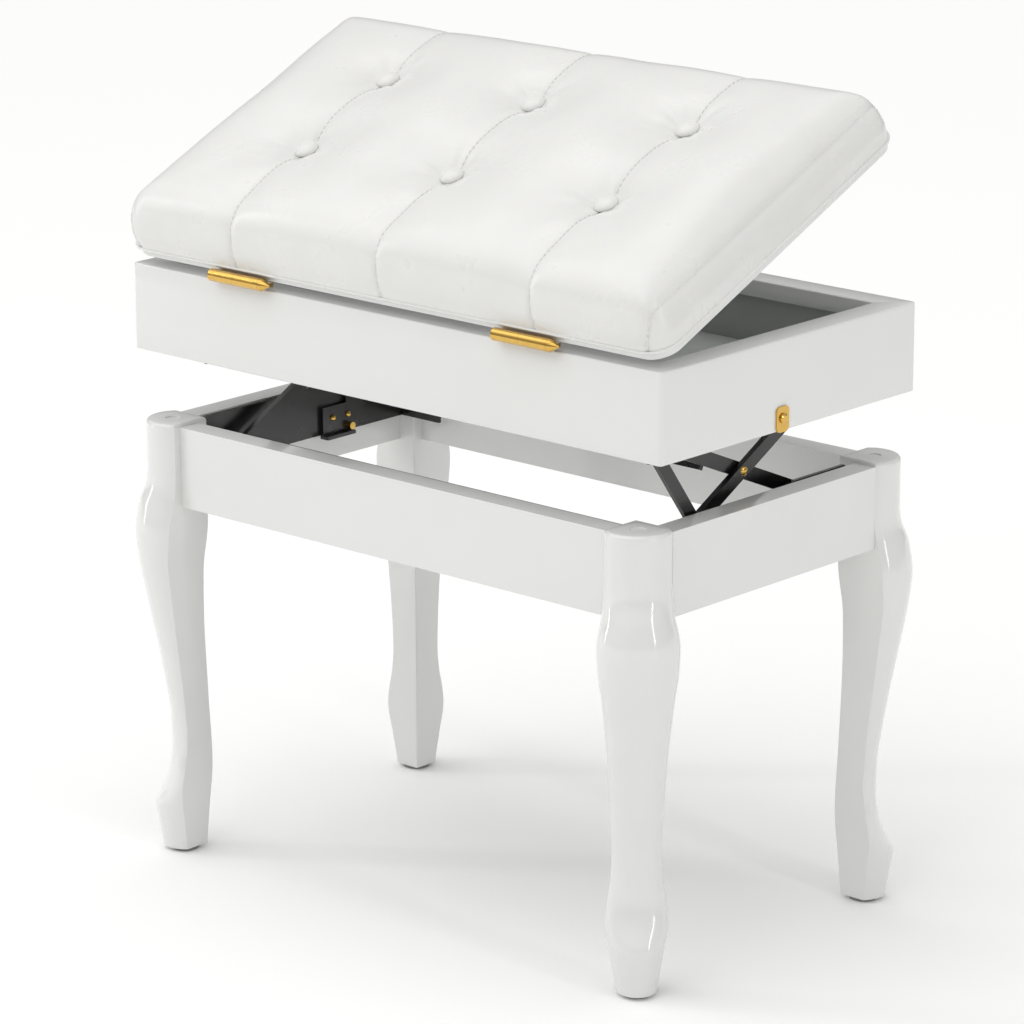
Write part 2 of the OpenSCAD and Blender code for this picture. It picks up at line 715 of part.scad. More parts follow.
module lid_board() {
  color(WHITE) opened() difference() {
    translate([0, (lid_y0 + lid_y1) / 2, lid_z]) linear_extrude(board_t)
      round_rect(lid_len - 2 * board_inset, lid_wid - 2 * board_inset, lid_r - board_inset, $fn = 32);
    for (x0 = [left_hinge, right_hinge]) leaf_holes(x0, lid_z - 1) cylinder(h = 10, r = screw_r);
  }
}

module button_places() {
  for (i = [-1, 0, 1], y = [button_row_1, button_row_2])
    translate([i * button_pitch, lid_y0 + y, cushion_z]) children();
}

module cushion_plate(inset, z, t) {
  translate([0, (lid_y0 + lid_y1) / 2, z]) linear_extrude(t)
    round_rect(lid_len - 2 * inset, lid_wid - 2 * inset, lid_r);
}

// Padded top whose cover reaches down over the edge of the board
module cushion() {
  color(WHITE) opened() difference() {
    hull() {
      cushion_plate(0, cushion_z - skirt, skirt + side_h, $fn = 32);
      cushion_plate(50, cushion_z + side_h, crown_h, $fn = 32);
    }
    translate([0, (lid_y0 + lid_y1) / 2, lid_z]) linear_extrude(board_t)
      round_rect(lid_len - 2 * board_inset, lid_wid - 2 * board_inset, lid_r - board_inset, $fn = 32);
    button_places() translate([0, 0, button_seat]) cylinder(h = 30, r = button_r + 0.6);
  }
}

module buttons() {
  color(WHITE) opened() button_places() translate([0, 0, button_seat]) {
    cylinder(h = 2, r = button_r);
    translate([0, 0, 2]) intersection() {
      translate([0, 0, 4 - 14.5]) sphere(r = 14.5);
      cylinder(h = 10, r = button_r);
    }
  }
}

module lid_bumpers() {
  color(GREY) opened() for (sx = [-1, 1], y = [lid_y0 + 26, lid_y1 - 14])
    translate([sx * (box_len / 2 - rim_w / 2), y, box_top + 0.2]) cylinder(h = lid_gap - 0.2, r = 5);
}

// ---------------------------------------------------------------- catch

// Flat brass tongue with rounded corners on the right end of the box
module catch() {
  x0 = box_len / 2 + 0.1;
  low = box_z - 0.5;
  color(BRASS) difference() {
    side_plate(x0, catch_t) translate([catch_y - catch_w / 2, low]) {
      translate([0, 4]) square([catch_w, catch_h - 8]);
      translate([4, 0]) square([catch_w - 8, catch_h]);
      for (y = [4, catch_w - 4], z = [4, catch_h - 4]) translate([y, z]) circle(4);
    }
    bar_x(x0 - 1, x0 + catch_t + 1, [catch_y, catch_pivot_z], screw_r + fit);
  }
}

module catch_screw() {
  x0 = box_len / 2 + 0.2 + catch_t;
  color(BRASS) {
    bar_x(box_len / 2 - 14, x0, [catch_y, catch_pivot_z], screw_r);
    bar_x(x0, x0 + 1.2, [catch_y, catch_pivot_z], 4);
    translate([x0 + 1.2, catch_y, catch_pivot_z]) rotate([0, 90, 0]) cylinder(h = 1.2, r1 = 4, r2 = 2.2);
  }
}

leg_front_left();
leg_front_right();
leg_rear_left();
leg_rear_right();
apron_front();
apron_rear();
apron_left();
apron_right();
apron_dowels();
leg_top_plugs();
foot_glides();
base_rail_left();
base_rail_right();
slide_guide_left();
slide_guide_right();
guide_screws();
base_rail_screws();
guide_studs();
pivot_shaft();
arm_a_left();
arm_a_right();
centre_rivets();
arm_a_slide_pins();
arm_b_left();
arm_b_right();
tie_bar();
arm_b_slide_pins();
arm_b_top_pins();
box_wall_front();
box_wall_rear();
box_wall_left();
box_wall_right();
box_floor();
box_lining();
upper_rail_left();
upper_rail_right();
upper_rail_screws();
stay();
stay_pivot();
stay_foot_pin();
hinge_box_left();
hinge_box_right();
hinge_pin_left();
hinge_pin_right();
hinge_lid_left();
hinge_lid_right();
hinge_screws_box();
hinge_screws_lid();
lid_board();
cushion();
buttons();
lid_bumpers();
catch();
catch_screw();
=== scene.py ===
"""Adjustable piano bench: finishes, upholstery and lacquered woodwork round the bench's fixed frame."""
import logging
import math
from collections.abc import Callable, Iterable, Sequence
from dataclasses import dataclass
from enum import Enum

import bmesh
import bpy
from mathutils import Matrix, Vector, noise
from mathutils.bvhtree import BVHTree
from mathutils.kdtree import KDTree


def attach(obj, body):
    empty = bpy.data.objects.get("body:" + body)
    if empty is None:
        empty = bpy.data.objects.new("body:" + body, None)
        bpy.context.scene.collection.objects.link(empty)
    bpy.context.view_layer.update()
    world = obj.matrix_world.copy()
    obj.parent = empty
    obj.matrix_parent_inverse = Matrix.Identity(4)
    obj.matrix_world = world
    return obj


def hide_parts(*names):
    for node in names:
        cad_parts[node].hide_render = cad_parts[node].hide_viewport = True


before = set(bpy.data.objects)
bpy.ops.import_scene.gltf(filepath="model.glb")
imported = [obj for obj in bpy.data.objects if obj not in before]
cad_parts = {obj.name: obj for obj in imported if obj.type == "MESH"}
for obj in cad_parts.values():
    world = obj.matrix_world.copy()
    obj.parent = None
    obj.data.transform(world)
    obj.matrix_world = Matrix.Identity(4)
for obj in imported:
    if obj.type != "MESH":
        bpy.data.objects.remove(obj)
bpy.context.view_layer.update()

log = logging.getLogger("piano_bench")
MM = 0.001
Point = tuple[float, float, float]
Profile = Sequence[tuple[float, float]]


# ------------------------------------------------------------------ colour and finishes

def rgb(hex_colour: str) -> tuple[float, float, float, float]:
    """Turns an sRGB hex colour into the linear values that shaders take.

    Args:
        hex_colour: six hex digits, red first.

    Returns:
        Linear red, green, blue and an alpha of 1.
    """
    parts = [int(hex_colour[i:i + 2], 16) / 255 for i in (0, 2, 4)]
    linear = [c / 12.92 if c <= 0.04045 else ((c + 0.055) / 1.055) ** 2.4 for c in parts]
    return linear[0], linear[1], linear[2], 1.0


def add(tree: bpy.types.NodeTree, kind: str, settings: dict[str, object] | None = None,
        **inputs: object) -> bpy.types.Node:
    """Adds one shader node.

    Args:
        tree: the node tree.
        kind: the node's type name without its prefix.
        settings: properties of the node itself.
        inputs: socket values or the sockets to link in, by socket name with _ for a space.

    Returns:
        The new node.
    """
    node = tree.nodes.new("ShaderNode" + kind)
    for name, value in (settings or {}).items():
        setattr(node, name, value)
    for name, value in inputs.items():
        socket = node.inputs[int(name[1:])] if name[1:].isdigit() else node.inputs[name.replace("_", " ")]
        if isinstance(value, bpy.types.NodeSocket):
            tree.links.new(value, socket)
        else:
            socket.default_value = value
    return node


class Texture(Enum):
    """The kinds of relief that a surface can carry."""

    PEEL = "slow waves, as sprayed lacquer sets"
    GRAIN = "small rounded cells, as embossed leather"
    BRUSHED = "long fine scratches along X"
    FIBRE = "short tangled hairs"


@dataclass(frozen=True)
class Relief:
    """One layer of surface relief, in real millimetres."""

    texture: Texture
    pitch_mm: float
    height_mm: float


@dataclass(frozen=True)
class Finish:
    """A real surface: what it is made of and how it was finished."""

    name: str
    colour: str
    shade: str
    roughness: tuple[float, float]
    reliefs: tuple[Relief, ...]
    blotch_mm: float = 60.0
    metallic: float = 0.0
    ior: float = 1.5
    coat: float = 0.0
    coat_roughness: float = 0.03
    sheen: float = 0.0
    subsurface: float = 0.0

    def material(self) -> bpy.types.Material:
        """Returns this finish's material, made on first use."""
        return bpy.data.materials.get(self.name) or self._build()

    def _pattern(self, tree: bpy.types.NodeTree, where: bpy.types.NodeSocket,
                 relief: Relief) -> bpy.types.NodeSocket:
        """Adds the height pattern of one relief and returns its output.

        Args:
            tree: the node tree.
            where: output that gives the place in object space.
            relief: the pattern, its size and its depth.

        Returns:
            The output that carries the height.
        """
        scale = 1 / (relief.pitch_mm * MM)
        if relief.texture is Texture.GRAIN:
            warp = add(tree, "TexNoise", Vector=where, Scale=scale * 0.5, Detail=2.0)
            mixed = add(tree, "VectorMath", {"operation": "MULTIPLY_ADD"}, i0=warp.outputs["Color"],
                        i1=(relief.pitch_mm * MM,) * 3, i2=where)
            cells = add(tree, "TexVoronoi", {"feature": "SMOOTH_F1"}, Vector=mixed.outputs[0],
                        Scale=scale, Smoothness=0.6)
            return add(tree, "Math", {"operation": "MULTIPLY"}, i0=cells.outputs["Distance"],
                       i1=-1.0).outputs[0]
        stretch = {Texture.BRUSHED: (0.04, 1.0, 1.0), Texture.FIBRE: (1.0, 0.6, 1.0)}.get(
            relief.texture, (1.0, 1.0, 1.0))
        turned = add(tree, "Mapping", Vector=where, Scale=stretch)
        detail = 6.0 if relief.texture is Texture.FIBRE else 2.0
        return add(tree, "TexNoise", Vector=turned.outputs[0], Scale=scale, Detail=detail,
                   Roughness=0.55).outputs[0]

    def _build(self) -> bpy.types.Material:
        """Builds the node tree.

        Returns:
            The finished material.
        """
        made = bpy.data.materials.new(self.name)
        made.use_nodes = True
        made.diffuse_color = rgb(self.colour)
        tree = made.node_tree
        tree.nodes.clear()
        where = add(tree, "TexCoord").outputs["Object"]
        blotch = add(tree, "TexNoise", Vector=where, Scale=1 / (self.blotch_mm * MM), Detail=3.0)
        tint = add(tree, "Mix", {"data_type": "RGBA"}, Factor=blotch.outputs[0])
        tint.inputs[6].default_value = rgb(self.colour)
        tint.inputs[7].default_value = rgb(self.shade)
        gloss = add(tree, "MapRange", Value=blotch.outputs[0], From_Min=0.3, From_Max=0.7,
                    To_Min=self.roughness[0], To_Max=self.roughness[1])
        shader = add(tree, "BsdfPrincipled", Base_Color=tint.outputs[2], Roughness=gloss.outputs[0],
                     Metallic=self.metallic)
        if not self.metallic:
            shader.inputs["IOR"].default_value = self.ior
        shader.inputs["Coat Weight"].default_value = self.coat
        shader.inputs["Coat Roughness"].default_value = self.coat_roughness
        shader.inputs["Sheen Weight"].default_value = self.sheen
        shader.inputs["Subsurface Weight"].default_value = self.subsurface
        shader.inputs["Subsurface Scale"].default_value = 1.5 * MM
        normal = None
        for relief in self.reliefs:
            bump = add(tree, "Bump", Height=self._pattern(tree, where, relief), Strength=1.0,
                       Distance=relief.height_mm * MM)
            if normal:
                tree.links.new(normal, bump.inputs["Normal"])
            normal = bump.outputs[0]
        if normal:
            tree.links.new(normal, shader.inputs["Normal"])
        out = add(tree, "OutputMaterial")
        tree.links.new(shader.outputs[0], out.inputs["Surface"])
        return made


# Polyurethane lacquer, sprayed and polished: deep gloss with the faintest orange peel.
WHITE_LACQUER = Finish("white_polyurethane_lacquer", "E5E5E3", "DFDFDD", (0.10, 0.16),
                       (Relief(Texture.PEEL, 14, 0.02), Relief(Texture.PEEL, 2.5, 0.002)),
                       blotch_mm=90, coat=0.6)
# Grey for the box's inner wall faces below the rim, left flatter than the white lacquer.
GREY_LACQUER = Finish("grey_satin_lacquer", "B4B8B6", "A7ABA9", (0.35, 0.45),
                      (Relief(Texture.PEEL, 3, 0.01),), blotch_mm=70)
# Polyurethane-coated cloth with an embossed calf grain: soft broad highlights, fine pebbling.
WHITE_LEATHER = Finish("white_coated_leathercloth", "E6E6E3", "DEDEDB", (0.25, 0.35),
                       (Relief(Texture.PEEL, 9, 0.05), Relief(Texture.GRAIN, 1.1, 0.035)),
                       blotch_mm=45, coat=0.35, coat_roughness=0.22, sheen=0.05, subsurface=0.05)
# Bonded polyester sewing thread, twisted.
WHITE_THREAD = Finish("white_polyester_thread", "E9E9E5", "DEDED9", (0.5, 0.6),
                      (Relief(Texture.FIBRE, 0.5, 0.05),), blotch_mm=8, sheen=0.2)
# Yellow brass, polished and clear-lacquered: warm mirror with hairline polishing marks.
POLISHED_BRASS = Finish("polished_yellow_brass", "DDB65E", "CFA34A", (0.14, 0.24),
                        (Relief(Texture.BRUSHED, 0.4, 0.004),), blotch_mm=6, metallic=1.0,
                        coat=0.4)
# Pressed steel, powder-painted gloss black: slightly wavy skin.
BLACK_STEEL = Finish("black_powder_painted_steel", "060607", "0B0B0C", (0.26, 0.38),
                     (Relief(Texture.PEEL, 2.2, 0.012),), blotch_mm=20, coat=0.3,
                     coat_roughness=0.12)
# Turned steel pins with bright zinc plating.
ZINC_STEEL = Finish("zinc_plated_steel", "B9BBBE", "A5A8AC", (0.24, 0.36),
                    (Relief(Texture.BRUSHED, 0.3, 0.006),), blotch_mm=5, metallic=1.0)
# Needled polyester felt laid in the box: no shine, short tangled hairs.
GREY_FELT = Finish("grey_needled_felt", "BCC0BD", "ABAFAD", (0.9, 1.0),
                   (Relief(Texture.FIBRE, 1.2, 0.25), Relief(Texture.FIBRE, 5, 0.2)),
                   blotch_mm=25, sheen=0.35)
# Thin fibreboard with a printed grey coat.
GREY_BOARD = Finish("grey_coated_fibreboard", "A4A7A5", "979A98", (0.55, 0.65),
                    (Relief(Texture.FIBRE, 1.5, 0.03),), blotch_mm=40)
# Fluted beech dowels, end grain raised by glue.
BEECH = Finish("beech_dowel_wood", "CBA779", "B98F60", (0.55, 0.7),
               (Relief(Texture.BRUSHED, 0.8, 0.04),), blotch_mm=4)
# Injection-moulded nylon glides, grained by use.
NYLON = Finish("moulded_grey_nylon", "8C8C8A", "7E7E7C", (0.45, 0.6),
               (Relief(Texture.FIBRE, 0.9, 0.02),), blotch_mm=6)
# Clear soft bumpers cast in polyurethane: slightly hazy.
SOFT_BUMPER = Finish("cast_soft_polyurethane", "D9D9D4", "CECEC8", (0.3, 0.42),
                     (Relief(Texture.PEEL, 2, 0.01),), blotch_mm=5)

FRAME_FINISHES: dict[Finish, tuple[str, ...]] = {
    WHITE_LACQUER: ("apron_front", "apron_rear", "apron_left", "apron_right", "leg_top_plugs",
                    "lid_board"),
    BEECH: ("apron_dowels",),
    NYLON: ("foot_glides",),
    SOFT_BUMPER: ("lid_bumpers",),
    GREY_BOARD: ("box_floor",),
    GREY_FELT: ("box_lining",),
    POLISHED_BRASS: ("guide_screws", "guide_studs", "centre_rivets", "stay_pivot", "catch",
                     "catch_screw", "hinge_box_left", "hinge_box_right", "hinge_pin_left",
                     "hinge_pin_right", "hinge_lid_left", "hinge_lid_right", "hinge_screws_box",
                     "hinge_screws_lid"),
    ZINC_STEEL: ("upper_rail_screws", "arm_a_slide_pins", "arm_b_slide_pins",
                 "arm_b_top_pins", "stay_foot_pin"),
    BLACK_STEEL: ("base_rail_screws", "base_rail_left", "base_rail_right", "slide_guide_left",
                  "slide_guide_right", "pivot_shaft", "arm_a_left", "arm_a_right", "arm_b_left",
                  "arm_b_right", "tie_bar", "upper_rail_left", "upper_rail_right", "stay"),
}
# How far the sharp edges of each node are eased, in millimetres.
EASED_EDGES: dict[str, float] = {"apron": 1.2, "lid_board": 1.0, "box_lining": 0.3, "hinge": 0.25,
                                 "catch": 0.3, "arm": 0.5, "stay": 0.5, "tie_bar": 0.5,
                                 "slide_guide": 0.5, "base_rail": 0.5, "upper_rail": 0.5,
                                 "leg_top_plugs": 0.5, "foot_glides": 0.6, "lid_bumpers": 0.8,
                                 "pivot_shaft": 0.4}


# ------------------------------------------------------------------ mesh helpers

def smooth_shade(obj: bpy.types.Object, angle: float = 35.0) -> None:
    """Shades a mesh smooth and keeps edges sharper than the angle.

    Args:
        obj: the mesh object.
        angle: largest smoothed angle, in degrees.
    """
    obj.data.polygons.foreach_set("use_smooth", [True] * len(obj.data.polygons))
    obj.data.set_sharp_from_angle(angle=math.radians(angle))


def mesh_object(name: str, points: Iterable[Sequence[float]], faces: Iterable[Sequence[int]],
                finish: Finish, angle: float = 35.0) -> bpy.types.Object:
    """Makes a mesh object from points in millimetres.

    Args:
        name: the piece's name.
        points: vertices in the bench's frame, in millimetres.
        faces: vertex indices of each face.
        finish: the surface it gets.
        angle: largest smoothed angle, in degrees.

    Returns:
        The linked object.
    """
    mesh = bpy.data.meshes.new(name)
    mesh.from_pydata([Vector(p) * MM for p in points], [], list(faces))
    shaped = bmesh.new()
    shaped.from_mesh(mesh)
    bmesh.ops.recalc_face_normals(shaped, faces=shaped.faces)
    shaped.to_mesh(mesh)
    shaped.free()
    obj = bpy.data.objects.new(name, mesh)
    bpy.context.scene.collection.objects.link(obj)
    mesh.materials.append(finish.material())
    smooth_shade(obj, angle)
    return obj


def loft(rings: Sequence[Sequence[Sequence[float]]], close: bool = False
         ) -> tuple[list[Sequence[float]], list[list[int]]]:
    """Skins closed rings with quads.

    Args:
        rings: rings of equal length.
        close: whether the last ring joins the first, or else both ends are capped.

    Returns:
        Points and faces.
    """
    count = len(rings[0])
    points = [p for ring in rings for p in ring]
    faces: list[list[int]] = []
    last = len(rings) if close else len(rings) - 1
    for j in range(last):
        a, b = j * count, (j + 1) % len(rings) * count
        faces += [[a + i, a + (i + 1) % count, b + (i + 1) % count, b + i] for i in range(count)]
    if not close:
        faces.append(list(range(count))[::-1])
        faces.append(list(range((len(rings) - 1) * count, len(rings) * count)))
    return points, faces


def tube(path: Sequence[Vector], radius: float, sides: int = 8, closed: bool = False
         ) -> tuple[list[Vector], list[list[int]]]:
    """Sweeps a circle along a path.

    Args:
        path: points in millimetres.
        radius: radius in millimetres.
        sides: sides of the circle.
        closed: whether the path is a loop.

    Returns:
        Points and faces.
    """
    rings = []
    count = len(path)
    for i, centre in enumerate(path):
        before = path[i - 1] if i or closed else path[0]
        after = path[(i + 1) % count] if i < count - 1 or closed else path[-1]
        along = (after - before).normalized()
        across = along.cross(Vector((0.31, 0.17, 0.93))).normalized()
        up = across.cross(along)
        rings.append([centre + radius * (across * math.cos(2 * math.pi * k / sides)
                                         + up * math.sin(2 * math.pi * k / sides))
                      for k in range(sides)])
    return loft(rings, closed)


def curve_value(profile: Profile, at: float) -> float:
    """Reads a profile as one smooth curve without overshoot.

    Args:
        profile: pairs of position and value.
        at: the position.

    Returns:
        The value there.
    """
    def slope(i: int) -> float:
        """Slope at one pair of the profile.

        Args:
            i: index of the pair.

        Returns:
            Change of the value per unit of place.
        """
        if i in (0, len(profile) - 1):
            return 0.0
        a = (profile[i][1] - profile[i - 1][1]) / (profile[i][0] - profile[i - 1][0])
        b = (profile[i + 1][1] - profile[i][1]) / (profile[i + 1][0] - profile[i][0])
        return 0.0 if a * b <= 0 else 2 * a * b / (a + b)

    i = next((k for k in range(len(profile) - 2) if at < profile[k + 1][0]), len(profile) - 2)
    (x0, v0), (x1, v1) = profile[i], profile[i + 1]
    h = x1 - x0
    t = min(1.0, (at - x0) / h)
    return ((2 * t ** 3 - 3 * t ** 2 + 1) * v0 + (t ** 3 - 2 * t ** 2 + t) * h * slope(i)
            + (3 * t ** 2 - 2 * t ** 3) * v1 + (t ** 3 - t ** 2) * h * slope(i + 1))


def rounded_loop(half_x: float, half_y: float, radius: float, centre_y: float, z: float,
                 steps: int = 8, per_side: int = 6) -> list[Point]:
    """Points round a rectangle with round corners.

    Args:
        half_x: half its length.
        half_y: half its width.
        radius: corner radius.
        centre_y: its middle along Y.
        z: its height.
        steps: points along each corner.
        per_side: points along each straight side.

    Returns:
        The loop, anticlockwise from above.
    """
    r = max(radius, 0.05)
    corners = [(half_x - r, half_y - r, 0), (r - half_x, half_y - r, 90),
               (r - half_x, r - half_y, 180), (half_x - r, r - half_y, 270)]
    arcs = [[(cx + r * math.cos(math.radians(a + 90 * k / steps)),
              centre_y + cy + r * math.sin(math.radians(a + 90 * k / steps)), z)
             for k in range(steps + 1)] for cx, cy, a in corners]
    loop: list[Point] = []
    for i, arc in enumerate(arcs):
        loop += arc
        start, end = arc[-1], arcs[(i + 1) % 4][0]
        loop += [(start[0] + (end[0] - start[0]) * k / (per_side + 1),
                  start[1] + (end[1] - start[1]) * k / (per_side + 1), z)
                 for k in range(1, per_side + 1)]
    return loop


def ease(t: float) -> float:
    """Smooth step from 0 to 1."""
    t = min(1.0, max(0.0, t))
    return t * t * (3 - 2 * t)


# ------------------------------------------------------------------ woodwork

@dataclass
class Legs:
    """The four carved legs: round outside, square inside, lacquered."""

    height: float = 369.7
    glide: float = 3.0
    in_x: float = 249.3
    in_y: float = 141.8
    top_round: float = 3.0
    plug_r: float = 6.15
    recess: float = 1.9
    steps: int = 26
    levels: int = 110
    out: Profile = ((0, 15.9), (24, 19), (41, 21.4), (50, 17.5), (60, 12.6), (73, 9), (92, 6.7),
                    (116, 7.1), (142, 10.3), (182, 17), (210, 22.5), (254, 30.4), (276, 32.5),
                    (300, 29), (318, 22.6), (330, 21.4), (370, 21.4))
    inner: Profile = ((0, 20.8), (32, 23), (77, 26.6), (130, 24.5), (206, 22.3), (240, 22.8),
                      (280, 27.2), (300, 27.6), (370, 27.6))
    half: Profile = ((0, 16.5), (30, 20.3), (58, 24.2), (75, 22.7), (90, 20.4), (108, 19.2),
                     (137, 19.9), (189, 23), (215, 25.2), (240, 28), (261, 30.8), (279, 31.7),
                     (291, 30.3), (302, 27.8), (317, 26.2), (332, 25.6), (370, 25.6))

    def _ring(self, z: float, shrink: float = 0.0) -> list[Point]:
        """One level of a leg about its own axis, X pointing to the bench's corner.

        Args:
            z: height of the level.
            shrink: how far the outline is drawn in.

        Returns:
            The points of the level, in order.
        """
        w = curve_value(self.half, z) - shrink
        n = curve_value(self.inner, z) - shrink
        o = curve_value(self.out, z) - shrink
        c = w - n
        ring = [(c + (o - c) * math.cos(a), w * math.sin(a), z)
                for a in (math.pi * (k / self.steps - 0.5) for k in range(self.steps + 1))]
        # the two flats, which meet in a square corner eased by about a millimetre
        flats = (0.25, 0.5, 0.75, 0.93, 0.975)
        ring += [(c - w * t, w * (1 - t), z) for t in flats]
        ring.append((c - w * 0.985, 0.0, z))
        ring += [(c - w * t, w * (t - 1), z) for t in reversed(flats)]
        return ring

    def _leg(self, name: str, sx: int, sy: int) -> bpy.types.Object:
        """Builds the leg at one corner.

        Args:
            name: the frame node that the leg stands for.
            sx: side of the bench along X, -1 or 1.
            sy: side of the bench along Y, -1 or 1.

        Returns:
            The leg.
        """
        body = self.height - self.top_round
        rings = [self._ring(self.glide, 1.2), self._ring(self.glide + 0.4, 0.5)]
        rings += [self._ring(self.glide + 1.2 + (body - self.glide - 1.2) * i / self.levels)
                  for i in range(self.levels + 1)]
        for a in (20, 40, 60, 75, 90):
            t = math.radians(a)
            rings.append([(x, y, body + self.top_round * math.sin(t)) for x, y, _ in
                          self._ring(self.height, self.top_round * (1 - math.cos(t)))])
        top = rings[-1]
        for share, drop in ((0.5, 0.0), (0.05, 0.0), (0.0, 0.0), (0.0, 0.25), (0.0, self.recess)):
            ring = []
            for x, y, _ in top:
                reach = math.hypot(x, y)
                r = self.plug_r - (0.25 if drop >= 0.25 else 0)
                near = (x / reach * r, y / reach * r)
                ring.append((near[0] + (x - near[0]) * share, near[1] + (y - near[1]) * share,
                             self.height - drop))
            rings.append(ring)
        turn = Matrix.Rotation(math.atan2(sy, sx), 3, "Z")
        place = Vector((sx * self.in_x, sy * self.in_y, 0))
        points, faces = loft([[turn @ Vector(p) + place for p in ring] for ring in rings])
        obj = mesh_object(f"{name}_lacquered", points, faces, WHITE_LACQUER, 40)
        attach(obj, "base")
        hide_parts(name)
        return obj

    def build(self) -> list[bpy.types.Object]:
        """Builds all four legs."""
        return [self._leg(f"leg_{row}_{side}", sx, sy)
                for row, sy in (("front", -1), ("rear", 1)) for side, sx in (("left", -1), ("right", 1))]


@dataclass
class Carcass:
    """The storage box's four walls, filled and lacquered as one."""

    half_x: float = 280.0
    half_y: float = 152.75
    low: float = 424.9
    height: float = 71.2
    wall: float = 18.0
    rim: float = 24.0
    rim_height: float = 14.0
    corner: float = 3.5
    edge: float = 1.3

    def build(self) -> bpy.types.Object:
        """Sweeps the wall's section round the box.

        Returns:
            The box walls as one lacquered piece.
        """
        top = self.low + self.height
        e = self.edge
        under = top - self.rim_height

        def quarter(inset: float, z: float, start: int, size: float) -> list[tuple[float, float]]:
            """Round edge: inset and height of its centre, start angle in degrees, radius."""
            return [(inset + size * math.cos(math.radians(start + k * 22.5)),
                     z + size * math.sin(math.radians(start + k * 22.5))) for k in range(5)]

        section = [(self.wall * 0.5, self.low)]
        section += [(i, z) for i, z in quarter(e, self.low + e, 180, e)][::-1]
        section += [(0.0, self.low + 20), (0.0, top - 20)]
        section += quarter(e, top - e, 90, e)[::-1]
        section += [(self.rim * 0.5, top)]
        section += [(i, z) for i, z in quarter(self.rim - e, top - e, 0, e)][::-1]
        section += [(self.rim, top - self.rim_height * 0.5)]
        section += [(self.rim, under + 0.4), (self.rim - 0.4, under), (self.wall + 0.6, under)]
        section += [(self.wall, under - 0.6), (self.wall, self.low + 30), (self.wall, self.low + 0.8),
                    (self.wall - 0.8, self.low)]
        rings = [rounded_loop(self.half_x - i, self.half_y - i, self.corner - i if i < 3 else 0.6, 0, z)
                 for i, z in section]
        points, faces = loft(rings, close=True)
        obj = mesh_object("box_carcass_lacquered", points, faces, WHITE_LACQUER, 50)
        obj.data.materials.append(GREY_LACQUER.material())
        # the inner wall faces below the rim are coloured grey, the rim and outside stay white
        for face in obj.data.polygons:
            x, y, z = face.center / MM
            inside = abs(x) < self.half_x - self.wall + 0.5 and abs(y) < self.half_y - self.wall + 0.5
            if inside and z < under - 0.3:
                face.material_index = 1
        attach(obj, "box")
        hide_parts("box_wall_front", "box_wall_rear", "box_wall_left", "box_wall_right")
        return obj


# ------------------------------------------------------------------ lid and upholstery

@dataclass
class Lid:
    """Where the closed lid lies and how far it stands open."""

    hinge_y: float = -157.95
    hinge_z: float = 501.2
    opened: float = 24.5
    under: float = 500.05
    front: float = -152.35
    length: float = 568.0
    width: float = 304.0
    corner: float = 22.0

    def place(self, x: float, s: float, n: float) -> Vector:
        """Turns a place on the lid into the bench's frame.

        Args:
            x: along the seat.
            s: distance from the hinge side.
            n: height above the underside of the board.

        Returns:
            The point with the lid at its angle.
        """
        y, z = self.front + s - self.hinge_y, self.under + n - self.hinge_z
        a = math.radians(self.opened)
        return Vector((x, self.hinge_y + y * math.cos(a) - z * math.sin(a),
                       self.hinge_z + y * math.sin(a) + z * math.cos(a)))

    def inset(self, x: float, s: float) -> float:
        """Distance of a point in plan from the lid's outline, positive inside.

        Args:
            x: place along the lid.
            s: distance from the hinge side.

        Returns:
            The distance in millimetres.
        """
        qx = abs(x) - (self.length / 2 - self.corner)
        qs = abs(s - self.width / 2) - (self.width / 2 - self.corner)
        outside = math.hypot(max(qx, 0), max(qs, 0))
        return self.corner - outside - min(max(qx, qs), 0)


